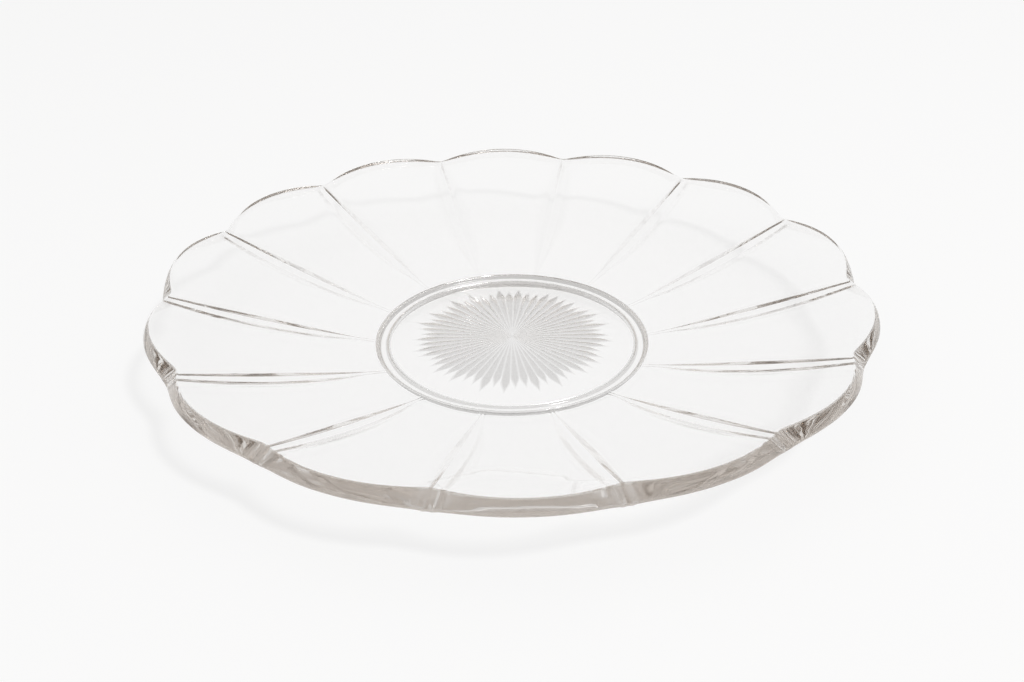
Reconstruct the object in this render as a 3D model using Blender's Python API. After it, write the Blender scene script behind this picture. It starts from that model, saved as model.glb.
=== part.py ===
"""A clear pressed-glass saucer: one solid pressing with a plain top, fourteen scalloped
panels divided by ribs on the underside, a foot ring to stand on and a rayed star under the well.

The origin is on the axis, on the table under the foot ring. Lengths are in metres, +Z is up.
"""

import math

import bmesh
import bpy

# Plan of the edge
PANELS = 14
TIP_RADIUS = 0.0760
LOBE_RADIUS = 0.0268
NOTCH_ROUNDING = 0.0005
LOWER_NOTCH_ROUNDING = 0.0050

# Heights and thicknesses
EDGE_HEIGHT = 0.0179
EDGE_THICKNESS = 0.0040
EDGE_BULGE = 0.0015
EDGE_LEAN = 0.0006
EDGE_SQUARENESS = 0.8
WALL_THICKNESS = 0.0030
FLOOR_THICKNESS = 0.0030
WALL_START_SLOPE = 0.20

# Ribs between the panels, on the underside
RIB_HEIGHT = 0.0008
RIB_HALF_WIDTH = 0.0048
RIB_SWELL = 1.5
CREST_HEIGHT = 0.0003
CREST_HALF_WIDTH = 0.0012
CREST_START = 0.0010
CREST_FADE = 0.0050

# Foot ring
FOOT_RADIUS = 0.0281
FOOT_WIDTH = 0.0032
FOOT_FLAT = 0.0004
FOOT_HEIGHT = 0.0020
FOOT_SIDE_SHARE = 0.2

# Well
DOME_RISE = 0.0010
RAYS = 56
STAR_MARGIN = 0.0047
RAY_DEPTH = 0.0005
RAY_TAPER = 0.0035

# How finely the surfaces are divided
PANEL_SPLITS = (0.0, 0.025, 0.055, 0.12, 0.22, 0.36, 0.5, 0.64, 0.78, 0.88, 0.945, 0.975)
WALL_STEPS = 8
EDGE_STEPS = 6
FOOT_STEPS = 3
WELL_STEPS = 2
STAR_STEPS = 5

# Glass as photographed
GLASS_COLOUR = (0.96, 0.95, 0.94, 1.0)
GLASS_ROUGHNESS = 0.02
GLASS_IOR = 1.52

PANEL_ANGLE = 2 * math.pi / PANELS
FOOT_INNER = FOOT_RADIUS - FOOT_WIDTH / 2
FOOT_OUTER = FOOT_RADIUS + FOOT_WIDTH / 2
STAR_RADIUS = FOOT_INNER - STAR_MARGIN
FLOOR_TOP = FOOT_HEIGHT + FLOOR_THICKNESS
WALL_REACH = TIP_RADIUS - EDGE_BULGE - FOOT_OUTER


def from_rib(angle):
    """Angle to the nearest line between two panels. One of these lines is on the X axis."""
    half = PANEL_ANGLE / 2
    return abs((angle + half) % PANEL_ANGLE - half)


def outline_radius(angle, rounding):
    """Radius of the scalloped edge: arcs of one lobe per panel, with the notches rounded."""
    rounded = min(PANEL_ANGLE / 2, math.hypot(from_rib(angle), rounding / TIP_RADIUS))
    off_axis = PANEL_ANGLE / 2 - rounded
    centre = TIP_RADIUS - LOBE_RADIUS
    return centre * math.cos(off_axis) + math.sqrt(
        LOBE_RADIUS**2 - (centre * math.sin(off_axis)) ** 2
    )


def top_height(radius):
    """Height of the plain top: flat over the well, then a wall that steepens outwards."""
    share = max(0.0, radius - FOOT_OUTER) / WALL_REACH
    straight = WALL_START_SLOPE * WALL_REACH
    rise = EDGE_HEIGHT - FLOOR_TOP - straight
    return FLOOR_TOP + straight * share + rise * share**2


def top_slope(radius):
    """Slope angle of the wall's top."""
    step = EDGE_THICKNESS / 100
    return math.atan((top_height(radius + step) - top_height(radius)) / step)


def rib_depth(radius, angle, end):
    """How far a rib stands out: a leaf-shaped swelling with a fine crest along its middle."""
    off = radius * from_rib(angle)
    share = (radius - FOOT_OUTER) / (end - FOOT_OUTER)
    leaf = math.sin(math.pi * share**RIB_SWELL)
    swelling = max(0.0, leaf - off / RIB_HALF_WIDTH)
    crest = max(0.0, 1 - off / CREST_HALF_WIDTH) ** 2
    fade = min(1.0, (radius - FOOT_OUTER) / CREST_START, (end - radius) / CREST_FADE)
    return RIB_HEIGHT * swelling + CREST_HEIGHT * fade * crest


def wall_section(angle):
    """Points (radius, height) of the wall's top, edge and underside in the plane at this angle."""
    outline = outline_radius(angle, NOTCH_ROUNDING)
    lower_outline = outline_radius(angle, LOWER_NOTCH_ROUNDING)
    steepest = top_slope(outline - EDGE_BULGE)
    end = outline + EDGE_LEAN / 2 - EDGE_BULGE * math.cos(steepest)
    pull = EDGE_THICKNESS * math.sin(steepest) + EDGE_LEAN + outline - lower_outline
    upper = []
    lower = []
    for step in range(WALL_STEPS + 1):
        share = step / WALL_STEPS
        radius = FOOT_OUTER + (end - FOOT_OUTER) * share
        slope = top_slope(radius)
        thickness = WALL_THICKNESS + (EDGE_THICKNESS - WALL_THICKNESS) * share
        thickness += rib_depth(radius, angle, end)
        height = top_height(radius)
        upper.append((radius, height))
        lower.append(
            (
                radius + math.sin(slope) * thickness - pull * share**3,
                height - math.cos(slope) * thickness,
            )
        )
    edge = []
    middle = [(a + b) / 2 for a, b in zip(upper[-1], lower[-1])]
    across = [(a - b) / 2 for a, b in zip(upper[-1], lower[-1])]
    for step in range(1, EDGE_STEPS):
        turn = math.pi * step / EDGE_STEPS
        out = EDGE_BULGE * math.sin(turn) ** EDGE_SQUARENESS
        up = abs(math.cos(turn)) ** EDGE_SQUARENESS
        up = math.copysign(up, math.cos(turn))
        edge.append(
            (
                middle[0] + across[0] * up + out * math.cos(steepest),
                middle[1] + across[1] * up + out * math.sin(steepest),
            )
        )
    return upper + edge + lower[::-1]


def foot_section():
    """Points (radius, height) of the rounded foot ring, from the wall inwards to the well."""
    corner = (FOOT_WIDTH - FOOT_FLAT) / 2
    drop = FOOT_HEIGHT * (1 - FOOT_SIDE_SHARE)
    outer = [(FOOT_OUTER, FOOT_HEIGHT)]
    for step in range(FOOT_STEPS + 1):
        turn = math.pi / 2 * step / FOOT_STEPS
        outer.append(
            (
                FOOT_RADIUS + FOOT_FLAT / 2 + corner * math.cos(turn),
                drop * (1 - math.sin(turn)),
            )
        )
    inner = [(2 * FOOT_RADIUS - radius, height) for radius, height in reversed(outer)]
    return outer + inner


def well_height(radius):
    """Height of the domed underside of the well, without the star."""
    return FOOT_HEIGHT + DOME_RISE * (1 - (radius / FOOT_INNER) ** 2)


def ray_cut(radius, on_ray):
    """Depth of the star at a ray's middle line, or half way between two rays."""
    middle = RAY_DEPTH * min(1.0, (STAR_RADIUS - radius) / RAY_TAPER)
    if on_ray:
        return middle
    spacing = 2 * math.pi * radius / RAYS
    widest = 2 * math.pi * STAR_RADIUS / RAYS
    return max(0.0, middle - RAY_DEPTH * spacing / widest)


def ring_of(mesh, points):
    """Adds one closed loop of vertices, given as (radius, angle, height)."""
    return [
        mesh.verts.new((radius * math.cos(angle), radius * math.sin(angle), height))
        for radius, angle, height in points
    ]


def join_equal(mesh, first, second):
    """Joins two loops of as many vertices with four-sided faces."""
    for n in range(len(first)):
        m = (n + 1) % len(first)
        mesh.faces.new((first[n], first[m], second[m], second[n]))


def join_unequal(mesh, first, first_angles, second, second_angles):
    """Joins two loops that start at the same angle, with triangles in order of angle."""
    first_angles = first_angles[1:] + [2 * math.pi]
    second_angles = second_angles[1:] + [2 * math.pi]
    a = 0
    b = 0
    while a < len(first) or b < len(second):
        here = first[a % len(first)]
        there = second[b % len(second)]
        if b == len(second) or (a < len(first) and first_angles[a] <= second_angles[b]):
            mesh.faces.new((here, first[(a + 1) % len(first)], there))
            a += 1
        else:
            mesh.faces.new((here, second[(b + 1) % len(second)], there))
            b += 1


def close_loop(mesh, loop, height):
    """Closes a loop with triangles to a vertex on the axis."""
    centre = mesh.verts.new((0.0, 0.0, height))
    for n in range(len(loop)):
        mesh.faces.new((loop[n], loop[(n + 1) % len(loop)], centre))


def saucer_mesh():
    """The whole pressing as one closed mesh."""
    mesh = bmesh.new()
    angles = [
        PANEL_ANGLE * (panel + split)
        for panel in range(PANELS)
        for split in PANEL_SPLITS
    ]
    well = []
    for step in range(1, WELL_STEPS + 1):
        radius = FOOT_INNER * step / WELL_STEPS
        well.append((radius, top_height(radius)))
    sections = [well + wall_section(angle) + foot_section() for angle in angles]
    loops = []
    for place in range(len(sections[0])):
        points = [(section[place], angle) for section, angle in zip(sections, angles)]
        loops.append(ring_of(mesh, [(r, angle, z) for (r, z), angle in points]))
    for outer, inner in zip(loops, loops[1:]):
        join_equal(mesh, inner, outer)
    close_loop(mesh, loops[0], FLOOR_TOP)

    ray_angles = [math.pi * n / RAYS for n in range(2 * RAYS)]
    previous = loops[-1]
    for step in range(STAR_STEPS):
        radius = STAR_RADIUS * (1 - step / STAR_STEPS)
        points = [
            (radius, angle, well_height(radius) + ray_cut(radius, n % 2 == 0))
            for n, angle in enumerate(ray_angles)
        ]
        loop = ring_of(mesh, points)
        if step == 0:
            join_unequal(mesh, previous, angles, loop, ray_angles)
        else:
            join_equal(mesh, previous, loop)
        previous = loop
    close_loop(mesh, previous, well_height(0.0) + RAY_DEPTH)
    bmesh.ops.recalc_face_normals(mesh, faces=mesh.faces)
    return mesh


def glass_material():
    """Clear glass with a faint warm grey tint."""
    material = bpy.data.materials.new("glass")
    material.use_nodes = True
    shader = material.node_tree.nodes["Principled BSDF"]
    shader.inputs["Base Color"].default_value = GLASS_COLOUR
    shader.inputs["Roughness"].default_value = GLASS_ROUGHNESS
    shader.inputs["Metallic"].default_value = 0.0
    shader.inputs["IOR"].default_value = GLASS_IOR
    shader.inputs["Transmission Weight"].default_value = 1.0
    return material


def build_saucer():
    """The one piece of the object, shaded smooth but for its sharp lines."""
    data = bpy.data.meshes.new("saucer")
    mesh = saucer_mesh()
    mesh.to_mesh(data)
    mesh.free()
    data.materials.append(glass_material())
    data.shade_smooth()
    data.set_sharp_from_angle(angle=math.radians(30))
    saucer = bpy.data.objects.new("saucer", data)
    bpy.context.scene.collection.objects.link(saucer)
    return saucer


for old in list(bpy.data.objects):
    bpy.data.objects.remove(old, do_unlink=True)
build_saucer()
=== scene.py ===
import math

import bpy
import numpy as np
from mathutils import Matrix, Vector


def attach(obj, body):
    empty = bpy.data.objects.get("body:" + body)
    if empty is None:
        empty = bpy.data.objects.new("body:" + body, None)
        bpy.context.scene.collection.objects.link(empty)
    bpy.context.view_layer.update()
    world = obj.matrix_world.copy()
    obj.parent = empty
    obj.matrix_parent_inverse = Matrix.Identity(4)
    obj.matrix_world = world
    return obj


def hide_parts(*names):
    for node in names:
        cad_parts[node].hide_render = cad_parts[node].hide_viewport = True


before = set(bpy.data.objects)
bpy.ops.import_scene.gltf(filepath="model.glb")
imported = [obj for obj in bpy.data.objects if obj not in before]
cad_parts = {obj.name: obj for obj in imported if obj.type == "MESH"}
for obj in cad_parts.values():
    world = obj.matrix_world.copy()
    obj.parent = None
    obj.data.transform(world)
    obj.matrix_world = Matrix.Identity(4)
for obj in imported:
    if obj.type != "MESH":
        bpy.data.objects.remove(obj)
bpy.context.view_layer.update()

# The saucer: one pressing of clear glass with a faint warm tint. A plain plunger forms the smooth
# top, and the mould gives the underside its fourteen ribbed panels, the foot ring and the rayed
# star under the well. The lips of the edge are rounded.

# Plan of the edge
PANELS = 14
TIP_RADIUS = 0.0760
LOBE_RADIUS = 0.0268
NOTCH_ROUNDING = 0.0011
LOWER_NOTCH_ROUNDING = 0.0050
LOWER_NOTCH_GROWTH = 8

# Section of the wall and the edge
EDGE_HEIGHT = 0.0179
EDGE_THICKNESS = 0.0033
UPPER_LIP = 0.0003
LOWER_LIP = 0.0006
EDGE_ROUND = 0.0002
EDGE_TILT = math.radians(26.0)
EDGE_TILT_GROWTH = 3
WALL_THICKNESS = 0.0030
FLOOR_THICKNESS = 0.0030
WALL_START_SLOPE = 0.20

# Ribs between the panels, with a groove by each notch
RIB_HEIGHT = 0.00026
RIB_HALF_WIDTH = 0.0040
RIB_REACH = 0.85
RIB_THINNEST = 0.2
RIB_BORDER_PLACE = 0.45
RIB_ROUNDING = 0.0001
# The leaves are slightly rough and slightly greyed in colour as painted shade
RIB_ROUGH_AND_SHADE = 0.05
RIB_ROUGH_AND_SHADE_FADE = 0.5
GROOVE_DEPTH = 0.0003
GROOVE_HALF_WIDTH = 0.0014
GROOVE_GROWTH = 5.0
GROOVE_FADE = 0.0015

# Foot ring, with rough flanks greyed in colour as painted shade
FOOT_RADIUS = 0.0281
FOOT_WIDTH = 0.0032
FOOT_FLAT = 0.0004
FOOT_HEIGHT = 0.0020
FOOT_SIDE_SHARE = 0.2
FOOT_INNER_SHARE = 0.6
FLANK_START = 0.3
FLANK_END = 0.99
OUTER_FLANK_ROUGH_AND_SHADE = 1.0
INNER_FLANK_ROUGH_AND_SHADE = 0.65

# Well and its star
DOME_RISE = 0.0010
RAYS = 56
STAR_MARGIN = 0.0040
RAY_DEPTH = 0.00022
RAY_TAPER = 0.0045
RAY_UNEVENNESS = 0.10
RAY_TIP_BEAT = 2.4
RAY_TIP_WANDER = 5.1
RAY_FILL = 3.0
RAY_LINE_WIDTH = 0.0002
RAY_LINE_CLEARNESS = 0.5
# The star's rays are rough and greyed in colour as painted shade
STAR_ROUGH_AND_SHADE = 0.75

# Share of the lamp's light that the glass holds back
PANEL_SHADE = 0.01
EDGE_SHADE = 0.42
EDGE_SHADE_SHARE = 0.05
RIB_LIGHT_WIDTH = 0.0010

PANEL_ANGLE = 2 * math.pi / PANELS
FOOT_INNER = FOOT_RADIUS - FOOT_WIDTH / 2
FOOT_OUTER = FOOT_RADIUS + FOOT_WIDTH / 2
STAR_RADIUS = FOOT_INNER - STAR_MARGIN
FLOOR_TOP = FOOT_HEIGHT + FLOOR_THICKNESS
WALL_REACH = TIP_RADIUS - LOWER_LIP - FOOT_OUTER

# How finely the surfaces are divided, with the steps of a panel closer together by its ribs
PANEL_STEPS = 48
PANEL_STEP_SHARES = (0.0, 0.085, 0.27, 0.73, 0.915, 1.0)
PANEL_ANGLE_SHARES = (0.0, 0.02, 0.12, 0.88, 0.98, 1.0)
WELL_STEPS = 4
WALL_STEPS = 34
EDGE_STEPS = 18
FOOT_STEPS = 9
RAY_STEPS = 8
STAR_STEPS = 40
SHARP_ANGLE = math.radians(40)


def from_rib(angle):
    """Angle to the nearest line between two panels."""
    half = PANEL_ANGLE / 2
    return np.abs((angle + half) % PANEL_ANGLE - half)


def outline_radius(angle, rounding):
    """Radius of the scalloped edge: one arc per panel, with the notches rounded."""
    rounded = np.minimum(PANEL_ANGLE / 2, np.hypot(from_rib(angle), rounding / TIP_RADIUS))
    off_axis = PANEL_ANGLE / 2 - rounded
    centre = TIP_RADIUS - LOBE_RADIUS
    return centre * np.cos(off_axis) + np.sqrt(LOBE_RADIUS**2 - (centre * np.sin(off_axis)) ** 2)


def top_height(radius):
    """Height of the plain top: flat over the well, then a wall that steepens outwards."""
    share = np.maximum(0.0, radius - FOOT_OUTER) / WALL_REACH
    straight = WALL_START_SLOPE * WALL_REACH
    rise = EDGE_HEIGHT - FLOOR_TOP - straight
    return FLOOR_TOP + straight * share + rise * share**2


def top_slope(radius):
    """Slope angle of the wall's top."""
    step = EDGE_THICKNESS / 100
    return np.arctan((top_height(radius + step) - top_height(radius)) / step)


def rib_depth(radius, angle, end):
    """How far a rib stands out, a long leaf with a raised border, and how rough and how grey with
    painted shade it is.
    """
    off = np.hypot(radius * from_rib(angle), RIB_ROUNDING)
    share = np.clip((radius - FOOT_OUTER) / (end - FOOT_OUTER), 0.0, 1.0)
    leaf = np.maximum(RIB_THINNEST, np.sin(RIB_REACH * math.pi * share))
    across = off / (RIB_HALF_WIDTH * leaf)
    border = np.interp(across, (0.0, RIB_BORDER_PLACE, 1.0), (0.0, 1.0, 0.0))
    groove = np.maximum(0.0, 1 - off / GROOVE_HALF_WIDTH) ** 2
    fade = share**GROOVE_GROWTH * np.clip((end - radius) / GROOVE_FADE, 0.0, 1.0)
    rough_and_shade = RIB_ROUGH_AND_SHADE * np.clip((1 - across) / RIB_ROUGH_AND_SHADE_FADE, 0.0, 1.0)
    return RIB_HEIGHT * leaf * border - GROOVE_DEPTH * fade * groove, rough_and_shade


def wall_loops(angle):
    """Each loop of the wall, from the top round the edge to the underside.

    A loop is its radius, its height, its share of the way to the edge and how rough and how grey with
    painted shade it is.
    """
    outline = outline_radius(angle, NOTCH_ROUNDING)
    filled = outline_radius(angle, LOWER_NOTCH_ROUNDING) - outline
    along = (math.cos(EDGE_TILT), math.sin(EDGE_TILT))
    down = (math.sin(EDGE_TILT), -math.cos(EDGE_TILT))
    end = outline - (EDGE_THICKNESS - LOWER_LIP) * down[0] - (UPPER_LIP + EDGE_ROUND / 2) * along[0]
    upper = []
    lower = []
    for share in np.linspace(0.0, 1.0, WALL_STEPS + 1):
        radius = FOOT_OUTER + (end - FOOT_OUTER) * share
        tilt = top_slope(radius)
        tilt = tilt + (EDGE_TILT - tilt) * share**EDGE_TILT_GROWTH
        thickness = WALL_THICKNESS + (EDGE_THICKNESS - WALL_THICKNESS) * share
        depth, rough_and_shade = rib_depth(radius, angle, end)
        thickness = thickness + depth
        height = top_height(radius)
        back = (LOWER_LIP - UPPER_LIP) * share**EDGE_TILT_GROWTH
        upper.append((radius, height, share, 0.0))
        under = radius + np.sin(tilt) * thickness - along[0] * back + filled * share**LOWER_NOTCH_GROWTH
        lower.append((under, height - np.cos(tilt) * thickness - along[1] * back, share, rough_and_shade))
    edge = []
    flat = EDGE_THICKNESS - UPPER_LIP - LOWER_LIP
    for step in np.linspace(0.0, 3.0, EDGE_STEPS + 1)[1:-1]:
        turn = math.pi / 2 * (np.clip(step, 0.0, 1.0) + np.clip(step - 2.0, 0.0, 1.0))
        if step < 1.0:
            depth = UPPER_LIP * (1 - math.cos(turn))
            out = UPPER_LIP * math.sin(turn)
        elif step < 2.0:
            depth = UPPER_LIP + flat * (step - 1.0)
            out = UPPER_LIP
        else:
            depth = EDGE_THICKNESS - LOWER_LIP * (1 + math.cos(turn))
            out = UPPER_LIP - LOWER_LIP * (1 - math.sin(turn))
        out = out + EDGE_ROUND * math.sin(math.pi * depth / EDGE_THICKNESS)
        radius = upper[-1][0] + down[0] * depth + along[0] * out
        height = upper[-1][1] + down[1] * depth + along[1] * out
        edge.append((radius + filled * depth / EDGE_THICKNESS, height, 1.0, 0.0))
    return upper + edge + lower[::-1]


def foot_loops():
    """Radius and height of each loop of the rounded foot ring, from the wall to the well."""
    corner = (FOOT_WIDTH - FOOT_FLAT) / 2
    drop = FOOT_HEIGHT * (1 - FOOT_SIDE_SHARE)
    outer = [(FOOT_OUTER, FOOT_HEIGHT)]
    for turn in np.linspace(0.0, math.pi / 2, FOOT_STEPS + 1):
        radius = FOOT_RADIUS + FOOT_FLAT / 2 + corner * math.cos(turn)
        outer.append((radius, drop * (1 - math.sin(turn))))
    inner = [(2 * FOOT_RADIUS - radius, height * FOOT_INNER_SHARE) for radius, height in outer[::-1]]
    return outer + inner


def well_height(radius):
    """Height of the domed underside of the well, without the star."""
    return FOOT_HEIGHT * FOOT_INNER_SHARE + DOME_RISE * (1 - (radius / FOOT_INNER) ** 2)


def star_cut(radius, angle):
    """Depth of the star: V-shaped rays of uneven length that merge towards the middle."""
    spacing = 2 * math.pi / RAYS
    ray = np.floor(angle / spacing + 0.5) % RAYS
    shorter = 0.5 + 0.5 * np.sin(ray * RAY_TIP_BEAT + np.sin(ray * RAY_TIP_WANDER))
    tip = STAR_RADIUS * (1 - RAY_UNEVENNESS * shorter)
    middle = RAY_DEPTH * np.clip((tip - radius) / RAY_TAPER, 0.0, 1.0)
    aside = np.abs((angle + spacing / 2) % spacing - spacing / 2) * radius
    widest = spacing * STAR_RADIUS / 2
    return np.maximum(0.0, middle - RAY_DEPTH * aside / widest)


def star_rough_and_shade(radius, angle):
    """How rough and how grey with painted shade the star is: all over its rays, clearer along the thin
    lines between them.
    """
    spacing = 2 * math.pi / RAYS
    between = (spacing / 2 - np.abs((angle + spacing / 2) % spacing - spacing / 2)) * radius
    line = RAY_LINE_CLEARNESS * np.exp(-((between / RAY_LINE_WIDTH) ** 2))
    covered = np.clip(RAY_FILL * star_cut(radius, angle) / RAY_DEPTH, 0.0, 1.0)
    return STAR_ROUGH_AND_SHADE * covered * (1 - line)


points = []
faces = []


def add_loop(radius, height, angle):
    """Adds one closed loop of points and returns their numbers."""
    start = len(points)
    height = np.broadcast_to(height, angle.shape)
    points.extend(np.column_stack([radius * np.cos(angle), radius * np.sin(angle), height]).tolist())
    return list(range(start, start + len(angle)))


def join_loops(first, first_angle, second, second_angle):
    """Joins two loops that start at the same angle: squares, or triangles in order of angle."""
    if len(first) == len(second):
        for n in range(len(first)):
            m = (n + 1) % len(first)
            faces.append((first[n], second[n], second[m], first[m]))
        return
    first_ends = list(first_angle[1:]) + [2 * math.pi]
    second_ends = list(second_angle[1:]) + [2 * math.pi]
    a = 0
    b = 0
    while a < len(first) or b < len(second):
        here = first[a % len(first)]
        there = second[b % len(second)]
        if b == len(second) or (a < len(first) and first_ends[a] <= second_ends[b]):
            faces.append((here, there, first[(a + 1) % len(first)]))
            a += 1
        else:
            faces.append((here, there, second[(b + 1) % len(second)]))
            b += 1


# Loops from the top of the well out over the edge, then in under the wall and the foot ring
panel_share = np.interp(np.arange(PANEL_STEPS) / PANEL_STEPS, PANEL_STEP_SHARES, PANEL_ANGLE_SHARES)
angle = (np.arange(PANELS)[:, None] + panel_share[None, :]).ravel() * PANEL_ANGLE
loops = []
for radius in FOOT_OUTER * np.arange(1, WELL_STEPS) / WELL_STEPS:
    loops.append(add_loop(radius, top_height(radius), angle))
shade = [PANEL_SHADE] * len(points)
rough_and_shade_values = [0.0] * len(points)
for radius, height, to_edge, rough_and_shade in wall_loops(angle):
    loops.append(add_loop(radius, height, angle))
    rough_and_shade_values.extend(np.broadcast_to(rough_and_shade, angle.shape))
    from_edge = np.clip((1 - to_edge) / EDGE_SHADE_SHARE, 0.0, 1.0)
    rib_light = np.exp(-((radius * from_rib(angle) / RIB_LIGHT_WIDTH) ** 2)) * to_edge
    panel = PANEL_SHADE * (1 - rib_light)
    shade.extend(EDGE_SHADE + (panel - EDGE_SHADE) * from_edge)
for radius, height in foot_loops():
    loops.append(add_loop(radius, height, angle))
    flank = (radius - FOOT_RADIUS) / (FOOT_WIDTH / 2)
    outer_flank = FLANK_START < flank < FLANK_END
    inner_flank = FLANK_START < -flank < FLANK_END
    rough_and_shade_values.extend([OUTER_FLANK_ROUGH_AND_SHADE * outer_flank + INNER_FLANK_ROUGH_AND_SHADE * inner_flank] * len(angle))
for outer, inner in zip(loops, loops[1:]):
    join_loops(outer, angle, inner, angle)
points.append((0.0, 0.0, FLOOR_TOP))
rough_and_shade_values.append(0.0)
for n in range(len(angle)):
    faces.append((loops[0][n], loops[0][(n + 1) % len(angle)], len(points) - 1))

# Loops of the star, from its tips to the middle of the well's underside
ray_angle = np.arange(RAYS * RAY_STEPS) * 2 * math.pi / (RAYS * RAY_STEPS)
previous = loops[-1]
previous_angle = angle
for radius in np.linspace(STAR_RADIUS, STAR_RADIUS / STAR_STEPS, STAR_STEPS):
    loop = add_loop(radius, well_height(radius) + star_cut(radius, ray_angle), ray_angle)
    rough_and_shade_values.extend(star_rough_and_shade(radius, ray_angle))
    join_loops(previous, previous_angle, loop, ray_angle)
    previous = loop
    previous_angle = ray_angle
points.append((0.0, 0.0, well_height(0.0) + RAY_DEPTH))
rough_and_shade_values.append(STAR_ROUGH_AND_SHADE)
for n in range(len(previous)):
    faces.append((previous[n], len(points) - 1, previous[(n + 1) % len(previous)]))
shade.extend([PANEL_SHADE] * (len(points) - len(shade)))

mesh = bpy.data.meshes.new("pressed_saucer")
mesh.from_pydata(points, [], faces)
mesh.attributes.new("rough_and_shade_values", "FLOAT", "POINT").data.foreach_set("value", np.array(rough_and_shade_values, np.float32))
mesh.attributes.new("shade", "FLOAT", "POINT").data.foreach_set("value", np.array(shade, np.float32))
mesh.shade_smooth()
mesh.set_sharp_from_angle(angle=SHARP_ANGLE)
saucer = bpy.data.objects.new("pressed_saucer", mesh)
bpy.context.scene.collection.objects.link(saucer)

# Glass: polished, with fine ripples that are stronger along the edge, and rough parts greyed in colour
# as painted shade
GLASS_IOR = 1.52
GLASS_TINT = (0.62, 0.55, 0.48, 1.0)
GLASS_TINT_DENSITY = 9.0
POLISHED_COLOUR = (1.0, 1.0, 1.0, 1.0)
# Grey mixed into the colour of the rough parts as painted shade, to dim them
PAINTED_SHADE_COLOUR = (0.36, 0.35, 0.34, 1.0)
SATIN_ROUGHNESS = 0.20
RIPPLES_PER_METRE = (70.0, 70.0, 450.0)
RIPPLE_DEPTH = 0.0006
PANEL_RIPPLE = 0.02
EDGE_RIPPLE = 0.12

# Sockets of the Mix node by number, because its colour sockets share their names with others
MIX_FACTOR = 0
MIX_FIRST = 6
MIX_SECOND = 7
MIX_RESULT = 2

glass = bpy.data.materials.new("warm_clear_glass")
glass.use_nodes = True
nodes = glass.node_tree.nodes
links = glass.node_tree.links
shader = nodes["Principled BSDF"]
shader.inputs["Base Color"].default_value = POLISHED_COLOUR
shader.inputs["Roughness"].default_value = 0.0
shader.inputs["IOR"].default_value = GLASS_IOR
shader.inputs["Transmission Weight"].default_value = 1.0

rough_and_shade_attribute = nodes.new("ShaderNodeAttribute")
rough_and_shade_attribute.attribute_name = "rough_and_shade_values"
satin_roughness = nodes.new("ShaderNodeMapRange")
satin_roughness.inputs["To Min"].default_value = 0.0
satin_roughness.inputs["To Max"].default_value = SATIN_ROUGHNESS
links.new(rough_and_shade_attribute.outputs["Fac"], satin_roughness.inputs["Value"])
links.new(satin_roughness.outputs["Result"], shader.inputs["Roughness"])
# Painted shade: the same attribute that roughens the glass also greys its colour
painted_shade_mix = nodes.new("ShaderNodeMix")
painted_shade_mix.data_type = "RGBA"
painted_shade_mix.inputs[MIX_FIRST].default_value = POLISHED_COLOUR
painted_shade_mix.inputs[MIX_SECOND].default_value = PAINTED_SHADE_COLOUR
links.new(rough_and_shade_attribute.outputs["Fac"], painted_shade_mix.inputs[MIX_FACTOR])
links.new(painted_shade_mix.outputs[MIX_RESULT], shader.inputs["Base Color"])

held_back = nodes.new("ShaderNodeAttribute")
held_back.attribute_name = "shade"
place = nodes.new("ShaderNodeTexCoord")
streaks = nodes.new("ShaderNodeMapping")
streaks.inputs["Scale"].default_value = RIPPLES_PER_METRE
links.new(place.outputs["Object"], streaks.inputs["Vector"])
waves = nodes.new("ShaderNodeTexNoise")
waves.inputs["Scale"].default_value = 1.0
waves.inputs["Detail"].default_value = 1.0
links.new(streaks.outputs["Vector"], waves.inputs["Vector"])
ripple_strength = nodes.new("ShaderNodeMapRange")
ripple_strength.inputs["From Min"].default_value = PANEL_SHADE
ripple_strength.inputs["From Max"].default_value = EDGE_SHADE
ripple_strength.inputs["To Min"].default_value = PANEL_RIPPLE
ripple_strength.inputs["To Max"].default_value = EDGE_RIPPLE
links.new(held_back.outputs["Fac"], ripple_strength.inputs["Value"])
ripple = nodes.new("ShaderNodeBump")
ripple.inputs["Distance"].default_value = RIPPLE_DEPTH
links.new(ripple_strength.outputs["Result"], ripple.inputs["Strength"])
links.new(waves.outputs["Fac"], ripple.inputs["Height"])
links.new(ripple.outputs["Normal"], shader.inputs["Normal"])

# Lamp light and light off the table pass straight through, less the share that is held back
let_through = nodes.new("ShaderNodeMath")
let_through.operation = "SUBTRACT"
let_through.inputs[0].default_value = 1.0
links.new(held_back.outputs["Fac"], let_through.inputs[1])
clear = nodes.new("ShaderNodeBsdfTransparent")
links.new(let_through.outputs["Value"], clear.inputs["Color"])
ray = nodes.new("ShaderNodeLightPath")
surface = shader.outputs["BSDF"]
for kind in ("Is Diffuse Ray", "Is Shadow Ray"):
    pick = nodes.new("ShaderNodeMixShader")
    links.new(ray.outputs[kind], pick.inputs[0])
    links.new(surface, pick.inputs[1])
    links.new(clear.outputs["BSDF"], pick.inputs[2])
    surface = pick.outputs["Shader"]
links.new(surface, nodes["Material Output"].inputs["Surface"])
absorb = nodes.new("ShaderNodeVolumeAbsorption")
absorb.inputs["Color"].default_value = GLASS_TINT
absorb.inputs["Density"].default_value = GLASS_TINT_DENSITY
links.new(absorb.outputs["Volume"], nodes["Material Output"].inputs["Volume"])
mesh.materials.append(glass)
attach(saucer, "root")
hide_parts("saucer")

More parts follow.
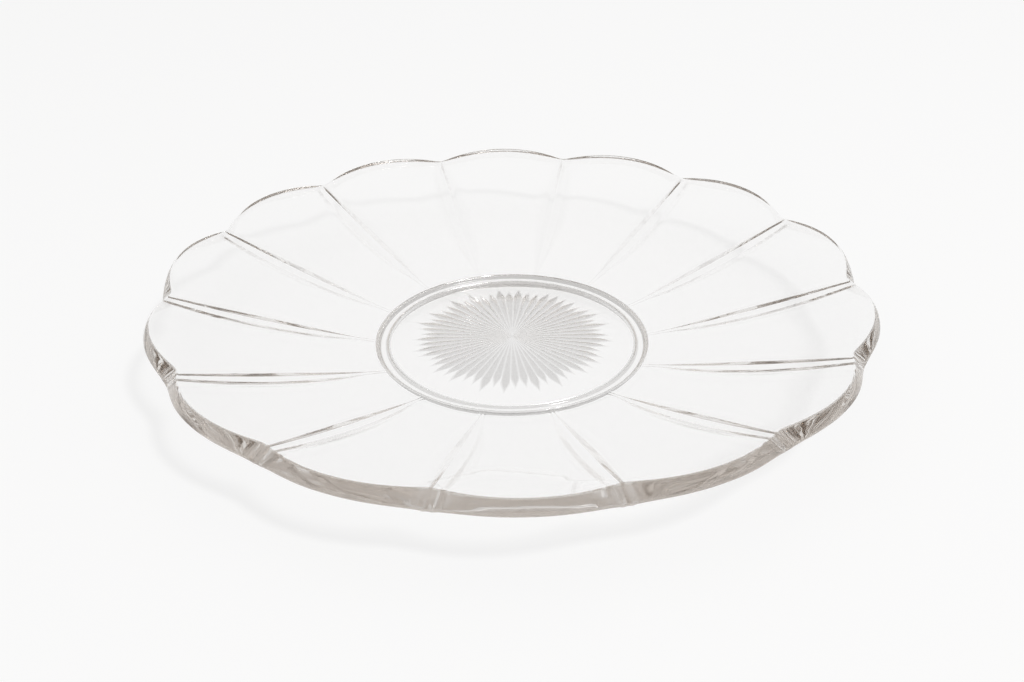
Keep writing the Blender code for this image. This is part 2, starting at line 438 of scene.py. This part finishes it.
# The table: a plain white sheet under the saucer. It shows as white paper to the camera and
# through the glass, and keeps the saucer's soft shadow.
TABLE_HALF_WIDTH = 3.0
TABLE_GAP = 0.00002
PAPER_COLOUR = (0.35, 0.35, 0.35, 1.0)
PAPER_GLOW = (1.0, 1.0, 1.0, 1.0)
PAPER_GLOW_STRENGTH = 0.595
corners = [(-1, -1), (1, -1), (1, 1), (-1, 1)]
table_points = [(x * TABLE_HALF_WIDTH, y * TABLE_HALF_WIDTH, 0.0) for x, y in corners]
table_mesh = bpy.data.meshes.new("table")
table_mesh.from_pydata(table_points, [], [(0, 1, 2, 3)])
table = bpy.data.objects.new("table", table_mesh)
bpy.context.scene.collection.objects.link(table)
table.location.z = -TABLE_GAP
paper = bpy.data.materials.new("white_paper")
paper.use_nodes = True
nodes = paper.node_tree.nodes
links = paper.node_tree.links
shader = nodes["Principled BSDF"]
shader.inputs["Base Color"].default_value = PAPER_COLOUR
shader.inputs["Roughness"].default_value = 1.0
shader.inputs["Specular IOR Level"].default_value = 0.0
shader.inputs["Emission Color"].default_value = PAPER_GLOW
ray = nodes.new("ShaderNodeLightPath")
seen = ray.outputs["Is Camera Ray"]
for kind in ("Is Transmission Ray", "Is Glossy Ray"):
    either = nodes.new("ShaderNodeMath")
    either.operation = "MAXIMUM"
    links.new(seen, either.inputs[0])
    links.new(ray.outputs[kind], either.inputs[1])
    seen = either.outputs["Value"]
glow = nodes.new("ShaderNodeMath")
glow.operation = "MULTIPLY"
glow.inputs[1].default_value = PAPER_GLOW_STRENGTH
links.new(seen, glow.inputs[0])
links.new(glow.outputs["Value"], shader.inputs["Emission Strength"])
table_mesh.materials.append(paper)

# Key light: one soft round lamp, high on the front right, that throws the saucer's shadow. It is
# left out of reflections, so that it makes no hard spot in the glass.
KEY_TOWARDS = (0.37, -0.47, 0.80)
KEY_DISTANCE = 2.4
KEY_SIZE = 0.32
KEY_ENERGY = 23.4
key = bpy.data.objects.new("key", bpy.data.lights.new("key", "AREA"))
bpy.context.scene.collection.objects.link(key)
key.data.shape = "DISK"
key.data.size = KEY_SIZE
key.data.energy = KEY_ENERGY
key.location = [KEY_DISTANCE * part for part in KEY_TOWARDS]
key.rotation_euler = Vector(KEY_TOWARDS).to_track_quat("Z", "Y").to_euler()
key.visible_glossy = False

# Room light: a white ceiling and a pale far wall, greyer to the sides, with a dim brown room
# behind the camera. Each blend brings in a colour between two values of the direction's Y or Z.
ROOM_BROWN = (0.20, 0.17, 0.145, 1.0)
ROOM_BLENDS = [
    ("Y", -0.70, -0.20, (0.45, 0.45, 0.45, 1.0)),
    ("Y", 0.30, 0.80, (0.85, 0.85, 0.85, 1.0)),
    ("Z", 0.60, 0.85, (0.95, 0.95, 0.95, 1.0)),
]
world = bpy.data.worlds.new("studio")
bpy.context.scene.world = world
world.use_nodes = True
nodes = world.node_tree.nodes
links = world.node_tree.links
where = nodes.new("ShaderNodeTexCoord")
split = nodes.new("ShaderNodeSeparateXYZ")
links.new(where.outputs["Generated"], split.inputs["Vector"])
room = nodes.new("ShaderNodeRGB")
tone = room.outputs["Color"]
tone.default_value = ROOM_BROWN
for axis, start, stop, colour in ROOM_BLENDS:
    ramp = nodes.new("ShaderNodeMapRange")
    ramp.interpolation_type = "SMOOTHSTEP"
    ramp.inputs["From Min"].default_value = start
    ramp.inputs["From Max"].default_value = stop
    links.new(split.outputs[axis], ramp.inputs["Value"])
    blend = nodes.new("ShaderNodeMix")
    blend.data_type = "RGBA"
    links.new(ramp.outputs["Result"], blend.inputs[MIX_FACTOR])
    links.new(tone, blend.inputs[MIX_FIRST])
    blend.inputs[MIX_SECOND].default_value = colour
    tone = blend.outputs[MIX_RESULT]
links.new(tone, nodes["Background"].inputs["Color"])

# Camera: as the photograph was taken, from the front and about 30 degrees up. Its place and lens
# come from the outline of the edge, the notches and the foot ring in the photograph.
CAMERA_TURN = math.radians(-1.92)
CAMERA_RISE = math.radians(30.39)
CAMERA_PITCH = math.radians(30.52)
CAMERA_ROLL = math.radians(-0.4)
CAMERA_DISTANCE = 0.2698
CAMERA_LIFT = 0.0035
SENSOR_WIDTH_MM = 36.0
LENS_MM = 43.6
NEAREST_SEEN = 0.01
camera = bpy.data.objects.new("camera", bpy.data.cameras.new("camera"))
bpy.context.scene.collection.objects.link(camera)
camera.data.sensor_width = SENSOR_WIDTH_MM
camera.data.lens = LENS_MM
camera.data.clip_start = NEAREST_SEEN
heading = -math.pi / 2 + CAMERA_TURN
camera.location = (
    CAMERA_DISTANCE * math.cos(CAMERA_RISE) * math.cos(heading),
    CAMERA_DISTANCE * math.cos(CAMERA_RISE) * math.sin(heading),
    CAMERA_DISTANCE * math.sin(CAMERA_RISE) + CAMERA_LIFT,
)
aim = Matrix.Rotation(CAMERA_TURN, 3, "Z") @ Matrix.Rotation(math.pi / 2 - CAMERA_PITCH, 3, "X")
aim = aim @ Matrix.Rotation(CAMERA_ROLL, 3, "Z")
camera.rotation_euler = aim.to_euler("XYZ")
bpy.context.scene.camera = camera

# Light that runs round inside the edge takes many bounces to come out
BOUNCES = 128
bpy.context.scene.cycles.max_bounces = BOUNCES
bpy.context.scene.cycles.glossy_bounces = BOUNCES
bpy.context.scene.cycles.transmission_bounces = BOUNCES

bpy.context.scene.view_settings.view_transform = "Standard"
bpy.context.view_layer.update()
